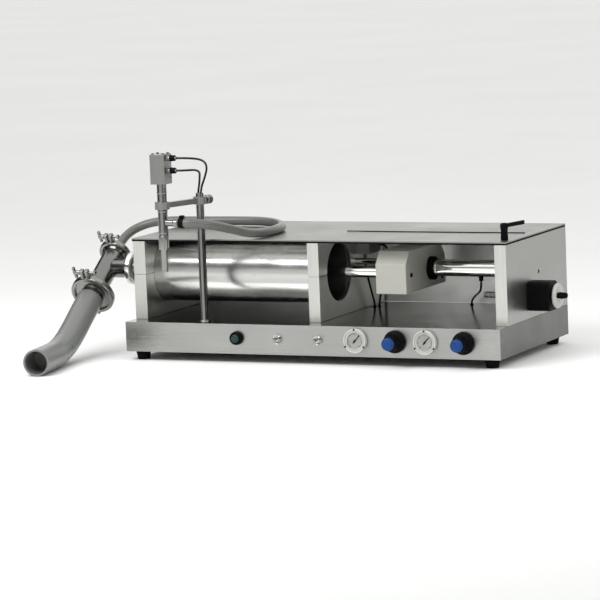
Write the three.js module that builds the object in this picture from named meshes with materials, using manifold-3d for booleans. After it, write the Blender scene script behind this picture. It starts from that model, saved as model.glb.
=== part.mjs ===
// A bench-top piston liquid filler: a product cylinder clamped between two split plates, an air
// cylinder that moves its piston through a coupling block, a tee with two check valves at the left
// end, and a nozzle on a stand in front. Millimetres, +Z up, the front of the machine facing -Y.
import * as THREE from 'three';
import { mergeVertices } from 'three/addons/utils/BufferGeometryUtils.js';
import Module from 'manifold-3d';

const wasm = await Module();
wasm.setup();

// ---- driving dimensions -------------------------------------------------------------------
const GAP = 0.3;                         // clearance between pieces that touch
const FLOOR = -7;                        // heights are counted from a level 7 mm above the floor
const BASE = { length: 760, depth: 350, bottom: 10, deck: 66, wall: 2 };
const FOOT_INSET = { x: 25, y: 22 };     // from the base's edges to each foot's axis
const FLANGE = 42;                       // width of the base's inward flange, which holds the feet
const COVER = { bottom: 217, top: 220, front: 41 };
const PLATE = { front: 41, back: 341, top: COVER.bottom - GAP };
const LEFT = { start: 2, end: 27 };      // left clamp plate along X
const MIDDLE = { start: 364, end: 387 }; // middle clamp plate along X
const RIGHT = { start: 737, end: 760 };  // right plate along X
const BORE = { y: 134, z: 151, inner: 56, outer: 60 };
const BLOCK = { start: 493, end: 554, front: 60, back: 250, bottom: 119, top: 197 };
const BARREL = { y: 178, z: 154, inner: 12.5, outer: 15, capRadius: 22 };
const GUIDE = { y: 215, z: 160, radius: 6 };
const PUSHER = { y: 238, z: 150, radius: 5 };
const ADJUSTER = { y: 160, z: 108, radius: 6 };
const CRANK_PIN = { y: ADJUSTER.y - 16.5, z: ADJUSTER.z + 3, radius: 2.2, end: 835 };
const CONTROL_Z = 40;
const ROUNDNESS = 0.66;                  // share of the full number of sides that round pieces get
const BUTTON = { x: 233, radius: 8 };
const TOGGLES = [317, 399];
const GAUGES = [475, 614];
const REGULATORS = [554, 689];
const COLUMN = { x: 160.5, y: 15, outer: 7.5, inner: 5, top: 310 };
const NOZZLE = { x: 130, y: -80, tip: 173, shoulder: 336, top: 392, barb: 264 };
const ARM = { bottom: 289, top: 303 };
const TEE = {
  x: -104, y: BORE.y, z: BORE.z, tilt: THREE.MathUtils.degToRad(34), inlet: 76, outlet: 42, bore: 16,
};
const BOLT_RISE = 11;                    // from a pipe clamp's rim to its bolt
const LEVER = { x: 743, y: 80 };

// ---- colours ------------------------------------------------------------------------------
function finish(colour, roughness, metalness) {
  return new THREE.MeshStandardMaterial({ color: colour, roughness, metalness });
}
const STEEL = finish(0xb4b4b0, 0.35, 0.9);
const POLISHED = finish(0xc8c8c4, 0.12, 1.0);
const CHROME = finish(0xd8d8d6, 0.08, 1.0);
const PLATE_PAINT = finish(0xc6c8c0, 0.5, 0.2);
const COVER_PAINT = finish(0xaeb0aa, 0.45, 0.3);
const CREAM = finish(0xcdcbb9, 0.55, 0.1);
const RUBBER = finish(0x161616, 0.85, 0.0);
const BLACK = finish(0x1c1c1e, 0.5, 0.0);
const BLUE = finish(0x245496, 0.45, 0.0);
const GREEN = finish(0x1f4a3c, 0.45, 0.0);
const WHITE = finish(0xe4e4de, 0.5, 0.0);
const PTFE = finish(0xe8e6dc, 0.6, 0.0);
const HOSE_GREY = finish(0x9a9c98, 0.4, 0.0);

// ---- shape helpers ------------------------------------------------------------------------
function solid(geometry) {
  const bare = geometry.index ? geometry.toNonIndexed() : geometry.clone();
  bare.deleteAttribute('normal');
  bare.deleteAttribute('uv');
  const merged = mergeVertices(bare, 1e-4);
  const place = merged.attributes.position.array;
  const kept = [];
  let volume = 0;
  for (let i = 0; i < merged.index.count; i += 3) {
    const [a, b, c] = [0, 1, 2].map((k) => merged.index.getX(i + k));
    if (a === b || b === c || c === a) continue;
    kept.push(a, b, c);
    const [p, q, r] = [a, b, c].map((k) => new THREE.Vector3().fromArray(place, k * 3));
    volume += p.dot(q.cross(r));
  }
  if (volume < 0) {
    for (let i = 0; i < kept.length; i += 3) [kept[i], kept[i + 1]] = [kept[i + 1], kept[i]];
  }
  const mesh = new wasm.Mesh({
    numProp: 3,
    vertProperties: new Float32Array(place),
    triVerts: new Uint32Array(kept),
  });
  return new wasm.Manifold(mesh);
}

function geometryOf(manifold) {
  const mesh = manifold.getMesh();
  const geometry = new THREE.BufferGeometry();
  geometry.setAttribute('position', new THREE.BufferAttribute(mesh.vertProperties, 3));
  geometry.setIndex(new THREE.BufferAttribute(mesh.triVerts, 1));
  return geometry;
}

function join(...shapes) {
  return shapes.reduce((all, shape) => all.add(shape));
}

function cut(shape, ...tools) {
  return tools.reduce((left, tool) => left.subtract(tool), shape);
}

/** A box between two corners. */
function box(x0, y0, z0, x1, y1, z1) {
  const geometry = new THREE.BoxGeometry(x1 - x0, y1 - y0, z1 - z0);
  geometry.translate((x0 + x1) / 2, (y0 + y1) / 2, (z0 + z1) / 2);
  return solid(geometry);
}

/** A turned piece: profile is a list of [radius, distance along the axis]. */
function turned(profile, axis, at, segments = 32) {
  const points = profile.map(([r, h]) => new THREE.Vector2(r, h));
  const geometry = new THREE.LatheGeometry(points, Math.max(6, 2 * Math.round(segments * ROUNDNESS / 2)));
  if (axis === 'x') geometry.rotateZ(-Math.PI / 2);
  if (axis === 'z') geometry.rotateX(Math.PI / 2);
  geometry.translate(...at);
  return solid(geometry);
}

/** A plain round bar from one distance to another along its axis. */
function bar(radius, from, to, axis, at, segments = 32) {
  return turned([[0, from], [radius, from], [radius, to], [0, to]], axis, at, segments);
}

/** A ring with a rectangular section. */
function ring(inner, outer, from, to, axis, at, segments = 32) {
  const profile = [[inner, from], [outer, from], [outer, to], [inner, to], [inner, from]];
  return turned(profile, axis, at, segments);
}

/** A flat outline pushed out along X, given as [y, z] points. */
function alongX(outline, from, to) {
  const shape = new THREE.Shape(outline.map(([y, z]) => new THREE.Vector2(y, z)));
  const geometry = new THREE.ExtrudeGeometry(shape, { depth: to - from, bevelEnabled: false });
  geometry.applyMatrix4(new THREE.Matrix4().set(0, 0, 1, from, 1, 0, 0, 0, 0, 1, 0, 0, 0, 0, 0, 1));
  return solid(geometry);
}

/** A rectangle with round corners, as [y, z] points. */
function roundedOutline(y0, z0, y1, z1, radius, steps = 4) {
  const corners = [[y1 - radius, z0 + radius, -90], [y1 - radius, z1 - radius, 0],
    [y0 + radius, z1 - radius, 90], [y0 + radius, z0 + radius, 180]];
  const points = [];
  for (const [y, z, start] of corners) {
    for (let i = 0; i <= steps; i += 1) {
      const angle = THREE.MathUtils.degToRad(start + (90 * i) / steps);
      points.push([y + radius * Math.cos(angle), z + radius * Math.sin(angle)]);
    }
  }
  return points;
}

/** A tube along a smooth route through the given points. */
function cordSolid(route, radius, sides) {
  const curve = new THREE.CatmullRomCurve3(route.map((p) => new THREE.Vector3(...p)), false, 'centripetal');
  const section = new THREE.Shape();
  for (let i = 0; i < sides; i += 1) {
    const angle = (2 * Math.PI * i) / sides;
    const point = [radius * Math.cos(angle), radius * Math.sin(angle)];
    if (i === 0) section.moveTo(...point);
    else section.lineTo(...point);
  }
  section.closePath();
  const steps = Math.ceil(curve.getLength() / (radius * 4.5));
  return solid(new THREE.ExtrudeGeometry(section, { steps, extrudePath: curve, curveSegments: 1 }));
}

const machine = new THREE.Group();
function add(name, shape, material, parent = machine) {
  const mesh = new THREE.Mesh(geometryOf(shape), material);
  mesh.name = name;
  parent.add(mesh);
  return mesh;
}

// ---- base ---------------------------------------------------------------------------------
function buildBase() {
  const { length, depth, bottom, deck, wall } = BASE;
  const front = (x, radius) => bar(radius, -5, 10, 'y', [x, 0, CONTROL_Z], 28);
  const holes = [
    front(BUTTON.x, BUTTON.radius + GAP),
    ...TOGGLES.map((x) => front(x, 5)),
    ...GAUGES.map((x) => front(x, 20 + GAP)),
    ...REGULATORS.map((x) => front(x, 10 + GAP)),
    bar(COLUMN.inner, deck - 10, deck + 10, 'z', [COLUMN.x, COLUMN.y, 0], 20),
  ];
  const shell = cut(
    box(0, 0, bottom, length, depth, deck),
    box(wall, wall, bottom + wall, length - wall, depth - wall, deck - wall),
    box(FLANGE, FLANGE, bottom - 1, length - FLANGE, depth - FLANGE, bottom + wall + 1),
    ...holes,
  );
  add('base_chassis', shell, STEEL);
  const { x: inX, y: inY } = FOOT_INSET;
  const spots = [[inX, inY], [length - inX, inY], [inX, depth - inY], [length - inX, depth - inY]];
  const height = bottom - GAP - FLOOR;
  spots.forEach(([x, y], i) => {
    const profile = [[0, 0], [10.5, 0], [11.5, 1], [14, height], [0, height]];
    add(`foot_${i + 1}`, turned(profile, 'z', [x, y, FLOOR], 24), RUBBER);
  });
}

// ---- plates, cover and back ---------------------------------------------------------------
/** The two halves of a clamp plate, split level with the cylinder's axis. */
function splitPlate(name, span, hollow) {
  const { front, back, top } = PLATE;
  const lower = box(span.start, front, BASE.deck + GAP, span.end, back, BORE.z - GAP);
  const upper = box(span.start, front, BORE.z + GAP, span.end, back, top);
  add(`${name}_lower`, cut(lower, ...hollow), PLATE_PAINT);
  add(`${name}_upper`, cut(upper, ...hollow), PLATE_PAINT);
}

function buildPlates() {
  const axis = [0, BORE.y, BORE.z];
  splitPlate('left_plate', LEFT, [
    bar(BORE.outer + GAP, 12, LEFT.end + 1, 'x', axis, 48),
    bar(19 + GAP, LEFT.start - 1, 13, 'x', axis, 36),
  ]);
  splitPlate('middle_plate', MIDDLE, [
    bar(BORE.outer + GAP, MIDDLE.start - 1, 380.3, 'x', axis, 48),
    bar(BORE.inner, 380, MIDDLE.end + 1, 'x', axis, 48),
    bar(GUIDE.radius + GAP, 378.7, MIDDLE.end + 1, 'x', [0, GUIDE.y, GUIDE.z], 24),
  ]);
  const right = cut(
    box(RIGHT.start, PLATE.front, BASE.deck + GAP, RIGHT.end, 347.7, PLATE.top),
    bar(BARREL.outer + GAP, RIGHT.start - 1, 749, 'x', [0, BARREL.y, BARREL.z]),
    bar(GUIDE.radius + GAP, RIGHT.start - 1, 745.3, 'x', [0, GUIDE.y, GUIDE.z], 24),
    bar(ADJUSTER.radius + GAP, RIGHT.start - 1, RIGHT.end + 1, 'x', [0, ADJUSTER.y, ADJUSTER.z], 24),
    bar(4, 752, RIGHT.end + 1, 'x', [0, 204, 147], 20),
    bar(3 + GAP, PLATE.top - 16, PLATE.top + 1, 'z', [LEVER.x, LEVER.y, 0], 20),
  );
  add('right_plate', right, PLATE_PAINT);
  const cover = cut(
    box(0, COVER.front, COVER.bottom, BASE.length, BASE.depth, COVER.top),
    box(382, 184, COVER.top - 1.2, 742, 186.5, COVER.top + 1),
    bar(3 + GAP, COVER.bottom - 1, COVER.top + 1, 'z', [LEVER.x, LEVER.y, 0], 20),
  );
  add('top_cover', cover, COVER_PAINT);
  add('back_panel', box(0, 348, BASE.deck + GAP, BASE.length, BASE.depth, PLATE.top), COVER_PAINT);
}

function buildLever() {
  const base = COVER.top + GAP;
  const hub = turned([[0, base], [7, base], [6.2, base + 16], [7.4, base + 24], [5.5, base + 30],
    [0, base + 31]], 'z', [0, 0, 0], 24);
  const stud = bar(3, PLATE.top - 15, base + 1, 'z', [0, 0, 0], 20);
  const outline = [[-5, -4.6], [22, -3.2], [34, -4], [38, 0], [34, 4], [22, 3.2], [-5, 4.6]];
  const shape = new THREE.Shape(outline.map((p) => new THREE.Vector2(...p)));
  const grip = new THREE.ExtrudeGeometry(shape, { depth: 7, bevelEnabled: false });
  grip.rotateY(-0.14);
  grip.translate(0, 0, base + 22);
  const mesh = add('clamp_lever', join(hub, stud, solid(grip)), BLACK);
  mesh.position.set(LEVER.x, LEVER.y, 0);
  mesh.rotation.z = THREE.MathUtils.degToRad(28);
}

// ---- product cylinder ---------------------------------------------------------------------
function buildCylinder() {
  const axis = [0, BORE.y, BORE.z];
  add('cylinder_tube', ring(BORE.inner, BORE.outer, 12.3, 380, 'x', axis, 64), POLISHED);
  const portBore = 15;
  const cap = turned([[portBore, -47], [25, -47], [25, -44], [19, -41], [19, 12.6], [BORE.inner - GAP, 12.6],
    [BORE.inner - GAP, 20], [portBore, 20], [portBore, -47]], 'x', axis, 36);
  add('cylinder_end_cap', cap, STEEL);
  const skirt = BORE.inner - 0.6;
  const groove = BORE.inner - 6;
  const piston = turned([[0, 122], [skirt, 122], [skirt, 132], [groove, 132], [groove, 147], [skirt, 147],
    [skirt, 157], [0, 157]], 'x', axis, 40);
  add('piston', piston, STEEL);
  add('piston_seal', ring(groove + GAP, BORE.inner - GAP, 132.3, 146.7, 'x', axis, 40), PTFE);
  add('piston_rod', bar(11, 157.3, 522.7, 'x', axis, 32), CHROME);
}

// ---- drive bay ----------------------------------------------------------------------------
function buildDrive() {
  const { start, end, front, back, bottom, top } = BLOCK;
  const outline = [[front, bottom], [back, bottom], [back, top - 24], [back - 20, top],
    [front + 20, top], [front, top - 23]];
  const block = cut(
    alongX(outline, start, end),
    bar(11 + GAP, start - 1, 523, 'x', [0, BORE.y, BORE.z]),
    bar(6 + GAP, 524, end + 1, 'x', [0, BARREL.y, BARREL.z], 24),
    bar(GUIDE.radius + 0.5, start - 1, end + 1, 'x', [0, GUIDE.y, GUIDE.z], 24),
  );
  add('coupling_block', block, CREAM);
  const barrelAt = [0, BARREL.y, BARREL.z];
  add('air_cylinder_barrel', ring(BARREL.inner, BARREL.outer, 563.3, 748.7, 'x', barrelAt), CHROME);
  const gland = ring(6 + GAP, BARREL.capRadius, end + 0.6, 563, 'x', barrelAt);
  add('air_cylinder_gland', gland, RUBBER);
  const airRod = turned([[0, 524.3], [6, 524.3], [6, 700], [BARREL.inner - GAP, 700],
    [BARREL.inner - GAP, 712], [0, 712]], 'x', barrelAt, 24);
  add('air_cylinder_rod', airRod, CHROME);
  add('guide_rod', bar(GUIDE.radius, 379, 745, 'x', [0, GUIDE.y, GUIDE.z], 24), CHROME);
}

// ---- stroke adjuster ----------------------------------------------------------------------
function buildAdjuster() {
  const at = [0, ADJUSTER.y, ADJUSTER.z];
  add('adjuster_screw', bar(ADJUSTER.radius, 668, 822, 'x', at, 24), STEEL);
  const web = alongX([[ADJUSTER.y - 14, ADJUSTER.z - 14], [ADJUSTER.y + 14, ADJUSTER.z - 14],
    [PUSHER.y + 12, PUSHER.z - 12], [PUSHER.y + 12, PUSHER.z + 10], [GUIDE.y + 10, GUIDE.z + 14],
    [GUIDE.y - 12, GUIDE.z + 14], [GUIDE.y - 12, GUIDE.z - 12], [ADJUSTER.y - 14, ADJUSTER.z + 6]], 705, 717);
  const bracket = cut(
    join(web, bar(PUSHER.radius, 592, 706, 'x', [0, PUSHER.y, PUSHER.z], 20)),
    bar(ADJUSTER.radius + GAP, 700, 720, 'x', at, 24),
    bar(GUIDE.radius + GAP, 700, 720, 'x', [0, GUIDE.y, GUIDE.z], 24),
  );
  add('stroke_stop_bracket', bracket, STEEL);
  const shell = alongX(roundedOutline(ADJUSTER.y - 23, ADJUSTER.z - 27, ADJUSTER.y + 23, ADJUSTER.z + 27, 9),
    RIGHT.end + GAP, 804);
  const housing = cut(shell, bar(ADJUSTER.radius + GAP, 755, 810, 'x', at, 24));
  add('adjuster_housing', housing, BLACK);
  const wheel = turned([[6.3, 806], [11, 806], [12, 812], [19, 811], [22, 809], [23.5, 812], [22, 816],
    [19, 818], [12, 817], [10, 821], [6.3, 821], [6.3, 806]], 'x', at, 36);
  const pinAt = [0, CRANK_PIN.y, CRANK_PIN.z];
  const pin = bar(CRANK_PIN.radius, 812, CRANK_PIN.end, 'x', pinAt, 16);
  add('handwheel', join(wheel, pin), WHITE);
  const hole = CRANK_PIN.radius + GAP;
  const grip = turned([[hole, 818.4], [5.2, 819], [6, 826], [5, 835.3], [4, 837.5], [0, 838], [0, 835.3],
    [hole, 835.3], [hole, 818.4]], 'x', pinAt, 20);
  add('crank_grip', grip, RUBBER);
}

// ---- front controls -----------------------------------------------------------------------
function buildControls() {
  const at = (x) => [x, 0, CONTROL_Z];
  const button = turned([[0, -13], [6.5, -12.6], [BUTTON.radius, -11], [BUTTON.radius, 8], [0, 8]], 'y',
    at(BUTTON.x), 24);
  add('push_button', button, GREEN);
  TOGGLES.forEach((x, i) => {
    const lever = turned([[0, -20], [2.2, -19], [2.4, -16], [1.4, -2], [2.4, 0], [1.4, 2], [1.2, 8], [0, 8]],
      'y', [0, 0, 0], 16);
    const mesh = add(`toggle_lever_${i + 1}`, lever, CHROME);
    mesh.position.set(x, 0, CONTROL_Z);
    mesh.rotation.x = -0.16;
  });
  GAUGES.forEach((x, i) => {
    const body = turned([[0, -4.5], [19.5, -4.5], [19.5, -7.5], [21, -8.5], [22.5, -7.5], [22.5, -GAP],
      [20, -GAP], [20, 24], [6, 24], [6, 34], [0, 34]], 'y', at(x), 40);
    add(`gauge_case_${i + 1}`, body, WHITE);
    const outline = [[-1.5, -5], [1.5, -5], [0.5, 14], [-0.5, 14]];
    const shape = new THREE.Shape(outline.map((p) => new THREE.Vector2(...p)));
    const needle = new THREE.ExtrudeGeometry(shape, { depth: 0.8, bevelEnabled: false });
    needle.rotateX(Math.PI / 2);
    const mesh = add(`gauge_needle_${i + 1}`, solid(needle), RUBBER);
    mesh.position.set(x, -5, CONTROL_Z);
    mesh.rotation.y = THREE.MathUtils.degToRad(42);
  });
  REGULATORS.forEach((x, i) => {
    const knob = turned([[0, -33], [12.5, -33], [13.5, -32], [15, -14], [20, -9], [21, -6], [21, -1.5],
      [19, -GAP], [10, -GAP], [10, 14], [0, 14]], 'y', at(x), 36);
    add(`regulator_knob_${i + 1}`, knob, BLACK);
    const cap = turned([[0, -42], [9.5, -41.5], [11.5, -39.5], [12, -33.3], [0, -33.3]], 'y', at(x), 32);
    add(`regulator_cap_${i + 1}`, cap, BLUE);
  });
}

// ---- pneumatic valve in the bay -----------------------------------------------------------
function buildValve() {
  const body = box(MIDDLE.end + GAP, 214, 174, 414, 268, 204);
  const coil = bar(11, 268, 300, 'y', [401, 0, 189], 20);
  const stub = bar(3.5, 166, 175, 'z', [401, 224, 0], 16);
  add('air_valve', join(body, coil, stub), BLACK);
}

// ---- nozzle stand -------------------------------------------------------------------------
function buildStand() {
  const at = [COLUMN.x, COLUMN.y, 0];
  const foot = ring(COLUMN.inner, 11, BASE.deck + GAP, BASE.deck + 5, 'z', at, 28);
  const post = ring(COLUMN.inner, COLUMN.outer, BASE.deck + GAP, COLUMN.top, 'z', at, 28);
  add('column', join(post, foot), POLISHED);
  const toNozzle = new THREE.Vector2(NOZZLE.x - COLUMN.x, NOZZLE.y - COLUMN.y);
  const reach = toNozzle.length();
  const turn = toNozzle.angle() + Math.PI / 2;
  const { bottom, top } = ARM;
  const middle = (bottom + top) / 2;
  const arm = cut(
    join(
      box(-5.5, -reach, bottom + 2, 5.5, 0, top - 2),
      bar(12.5, bottom, top, 'z', [0, 0, 0], 32),
      bar(14, bottom, top, 'z', [0, -reach, 0], 32),
    ),
    bar(COLUMN.outer + GAP, bottom - 1, top + 1, 'z', [0, 0, 0], 28),
    bar(9 + GAP, bottom - 1, top + 1, 'z', [0, -reach, 0], 28),
    bar(2.5 + GAP, 5, 14, 'y', [0, 0, middle], 16),
  );
  const stand = new THREE.Group();
  stand.position.set(COLUMN.x, COLUMN.y, 0);
  stand.rotation.z = turn;
  machine.add(stand);
  add('nozzle_arm', arm, STEEL, stand);
  const thumb = turned([[0, 8.2], [2.5, 8.2], [2.5, 15], [6, 15.5], [8.5, 17], [8.5, 27], [7.5, 28.5],
    [0, 28.5]], 'y', [0, 0, middle], 24);
  add('arm_thumb_screw', thumb, STEEL, stand);
}

function buildNozzle() {
  const { x, y, tip, shoulder, top, barb } = NOZZLE;
  const at = [x, y, 0];
  const tube = turned([[4.5, tip], [5.5, tip], [6, tip + 2], [6, 214], [10.5, 216], [10.5, 238],
    [9, 239], [9, shoulder], [4.5, shoulder], [4.5, tip]], 'z', at, 24);
  const outlet = bar(6.4, x + 7, x + 24, 'x', [0, y, barb], 20);
  const tail = turned([[0, x + 22], [6.4, x + 22], [7.4, x + 24], [6.2, x + 30], [0, x + 30]], 'x',
    [0, y, barb], 20);
  const through = bar(3.8, x, x + 40, 'x', [0, y, barb], 16);
  add('nozzle_body', cut(join(tube, outlet, tail), through), POLISHED);
  const half = 15;
  const shell = box(x - half, y - half, shoulder + GAP, x + half, y + half, top);
  const face = x + half;
  const fitting = (z) => turned([[0, face - 1], [5, face - 1], [5, face + 6], [3.4, face + 7],
    [3.4, face + 18], [0, face + 18]], 'x', [0, y, z], 16);
  const bore = bar(4.5, shoulder - 5, shoulder + 30, 'z', at, 20);
  const cylinder = cut(join(shell, fitting(384), fitting(361)), bore);
  add('nozzle_air_cylinder', cylinder, STEEL);
  const plunger = turned([[0, tip + 1], [2.6, tip + 4], [3, tip + 8], [3, shoulder + 18], [0, shoulder + 18]],
    'z', at, 16);
  add('nozzle_plunger', plunger, CHROME);
}

// ---- tee with check valves ----------------------------------------------------------------
/** A hinged pipe clamp round the local Y axis, with its bolt lug on top. */
function pipeClamp(inner, outer, from, to) {
  const mid = (from + to) / 2;
  return cut(
    join(
      ring(inner, outer, from, to, 'y', [0, 0, 0], 40),
      box(-9, from + 1, outer - 2, 9, to - 1, outer + BOLT_RISE + 6),
    ),
    box(-1.5, from - 1, inner - 4, 1.5, to + 1, outer + BOLT_RISE + 9),
    bar(2.6, -20, 20, 'x', [0, mid, outer + BOLT_RISE], 16),
  );
}

/** A bolt along local X with a wing nut's two ears at its -X end. */
function wingBolt(at, reach) {
  const [x, y, z] = at;
  const bolt = bar(2.3, x - reach, x + reach, 'x', [0, y, z], 16);
  const head = bar(4.5, x + reach - 4, x + reach, 'x', [0, y, z], 6);
  const nut = bar(4.5, x - reach, x - 9.6, 'x', [0, y, z], 16);
  const ears = alongX([[y - 2.4, z - 13], [y + 2.4, z - 13], [y + 3, z], [y + 2.4, z + 13], [y - 2.4, z + 13],
    [y - 3, z]], x - reach + 1, x - reach + 5);
  return join(bolt, head, nut, ears);
}

function buildTee() {
  const { inlet, outlet, tilt, bore } = TEE;
  const valve = new THREE.Group();
  valve.position.set(TEE.x, TEE.y, TEE.z);
  valve.rotation.x = tilt;
  machine.add(valve);
  const branchEnd = -47.6 - TEE.x;
  const run = turned([[0, -inlet], [36, -inlet], [36, -inlet + 3], [24, -inlet + 8], [21, -inlet + 22],
    [21, outlet - 8], [25, outlet - 3], [25, outlet], [0, outlet]], 'y', [0, 0, 0], 36);
  const branch = turned([[0, 0], [19, 0], [19, branchEnd - 6], [25, branchEnd - 3], [25, branchEnd],
    [0, branchEnd]], 'x', [0, 0, 0], 36);
  const tee = cut(
    join(run, branch),
    bar(bore, -inlet - 1, outlet + 1, 'y', [0, 0, 0], 28),
    bar(bore - 1, 0, branchEnd + 1, 'x', [0, 0, 0], 28),
  );
  add('tee_body', tee, POLISHED, valve);
  const ball = (y) => {
    const geometry = new THREE.SphereGeometry(12, 20, 12);
    geometry.translate(0, y, 0);
    return solid(geometry);
  };
  add('inlet_check_ball', ball(-48), PTFE, valve);
  add('outlet_check_ball', ball(24), PTFE, valve);
  const face = -inlet - GAP;
  const tail = turned([[15, face - 14], [22, face - 14], [23, face - 4], [36, face - 3], [36, face],
    [15, face], [15, face - 14]], 'y', [0, 0, 0], 36);
  add('inlet_hose_tail', tail, STEEL, valve);
  const inletRim = 43;
  add('inlet_clamp', pipeClamp(36.4, inletRim, face - 6.5, face + 6.5), STEEL, valve);
  add('inlet_wing_bolt', wingBolt([0, face, inletRim + BOLT_RISE], 24), STEEL, valve);
  const end = outlet + GAP;
  const barb = turned([[6, end], [25, end], [25, end + 3], [12, end + 6], [8, end + 9], [8, end + 12],
    [9, end + 14], [8, end + 20], [6, end + 20], [6, end]], 'y', [0, 0, 0], 28);
  add('outlet_barb', barb, STEEL, valve);
  const outletRim = 31.5;
  add('outlet_clamp', pipeClamp(25.4, outletRim, end - 6, end + 6), STEEL, valve);
  add('outlet_wing_bolt', wingBolt([0, end, outletRim + BOLT_RISE], 22), STEEL, valve);
  const portClamp = ring(25.4, outletRim, -53, -41.5, 'x', [0, BORE.y, BORE.z], 36);
  add('port_clamp', portClamp, STEEL);
}

buildBase();
buildPlates();
buildLever();
buildCylinder();
buildDrive();
buildAdjuster();
buildControls();
buildValve();
buildStand();
buildNozzle();
buildTee();

// ---- hoses and air lines ------------------------------------------------------------------
const SUCTION_ROUTE = [[-104, 58, 99.8], [-104, 46, 91.7], [-104, 30, 80.9], [-103.6, 12, 68.8],
  [-103, -7, 56], [-102, -26.7, 44.2], [-100, -47.6, 34.4], [-97.5, -69.4, 26.9], [-94.5, -91.8, 21.7],
  [-91.5, -110.8, 19.2], [-88, -130, 18.4], [-84.5, -151, 18.4], [-81, -172, 18.4], [-77.5, -193, 18.4],
  [-72.5, -223, 18.4]];
const DISCHARGE_ROUTE = [[160.3, -80, 264], [172, -80, 264], [184, -77, 263.5], [196, -69, 262],
  [207, -56, 259], [217, -39, 254.5], [227, -18, 248.5], [237, 6, 241.5], [246, 31, 234.5], [254, 60, 230.2],
  [259, 92, 229], [260, 124, 229], [256, 158, 229], [245, 190, 229], [226, 219, 229], [201, 242, 229.5],
  [171, 256, 230], [138, 261, 230], [104, 261, 230], [70, 258, 230], [38, 254, 230.3], [8, 250, 230.5],
  [-16, 247.5, 230.5], [-37, 245.5, 229.7], [-54, 243.5, 227.3], [-69, 240, 224], [-81.5, 234.5, 219.5],
  [-91.5, 227, 214], [-98.5, 217.5, 207.5], [-102.5, 207, 200.2], [-104, 196, 192.9], [-104, 186.2, 186.3]];
const AIR_ROUTE_UPPER = [[163.3, -80, 384], [172, -80, 384], [182, -76, 383.5], [190, -66, 382],
  [195, -51, 379], [196, -35, 374], [193, -19, 366.5], [187, -5, 356.5], [179, 5.5, 345], [171.5, 12, 333],
  [165.5, 15, 321], [163.1, 15.3, 309], [162.9, 15.3, 298]];
const AIR_ROUTE_LOWER = [[163.3, -80, 361], [171, -79.5, 361], [179, -75, 361], [184.5, -64, 360.5],
  [186, -50, 359], [184.5, -35, 355.5], [180, -21, 350], [174, -9, 342], [168, 1.5, 332.5],
  [162.5, 9.5, 322.5], [158.6, 14, 312.5], [158, 14.7, 304], [158, 14.7, 298]];

const standing = new THREE.Box3().setFromObject(machine);
add('suction_hose', cordSolid(SUCTION_ROUTE, 25, 12), HOSE_GREY);
add('discharge_hose', cordSolid(DISCHARGE_ROUTE, 8.5, 10), HOSE_GREY);
add('air_line_upper', cordSolid(AIR_ROUTE_UPPER, 2, 8), BLACK);
add('air_line_lower', cordSolid(AIR_ROUTE_LOWER, 2, 8), BLACK);

// The origin is at the bottom centre of the machine's box, taken without its hoses and air lines.
const middleOf = standing.getCenter(new THREE.Vector3());
machine.position.set(-middleOf.x, -middleOf.y, -standing.min.z);

export default machine;
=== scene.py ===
"""Looks for the bench-top piston liquid filler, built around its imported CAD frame. Metres, +Z up."""
import math

import bmesh
import bpy
import numpy as np
from mathutils import Matrix, Vector


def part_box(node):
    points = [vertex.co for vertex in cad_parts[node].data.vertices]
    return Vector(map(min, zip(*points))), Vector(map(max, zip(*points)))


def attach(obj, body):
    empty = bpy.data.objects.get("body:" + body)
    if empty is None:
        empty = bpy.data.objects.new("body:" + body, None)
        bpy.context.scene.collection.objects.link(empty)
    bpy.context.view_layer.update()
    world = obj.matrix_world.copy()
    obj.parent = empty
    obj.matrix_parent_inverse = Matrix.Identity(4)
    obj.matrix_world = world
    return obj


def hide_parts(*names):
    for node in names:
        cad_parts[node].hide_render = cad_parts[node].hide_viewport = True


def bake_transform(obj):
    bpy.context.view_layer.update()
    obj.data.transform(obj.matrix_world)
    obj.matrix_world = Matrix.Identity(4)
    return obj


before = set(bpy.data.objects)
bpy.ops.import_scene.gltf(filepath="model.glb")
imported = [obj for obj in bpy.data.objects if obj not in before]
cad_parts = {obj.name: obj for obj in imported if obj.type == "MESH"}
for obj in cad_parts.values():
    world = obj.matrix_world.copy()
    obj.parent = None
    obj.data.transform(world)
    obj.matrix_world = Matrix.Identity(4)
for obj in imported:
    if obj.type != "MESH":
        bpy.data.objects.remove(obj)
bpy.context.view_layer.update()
MM = 0.001

# Places below are millimetres from the base's front left edge. Heights are counted as in the CAD source,
# from a level 66 mm under the base's deck, and the floor lies 7 mm below that level.
BASE_LOW, BASE_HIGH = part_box("base_chassis")
FLOOR, DECK = -7.0, 66.0
ORIGIN = Vector((BASE_LOW.x, BASE_LOW.y, BASE_HIGH.z - DECK * MM))


def mm(x, y, z):
    """A step in millimetres."""
    return Vector((x, y, z)) * MM


def at(x, y, z):
    """A place on the machine, in the row frame."""
    return ORIGIN + mm(x, y, z)


def linked(name, data):
    """A new object that shows the data, in the scene."""
    obj = bpy.data.objects.new(name, data)
    bpy.context.scene.collection.objects.link(obj)
    return obj


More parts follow.
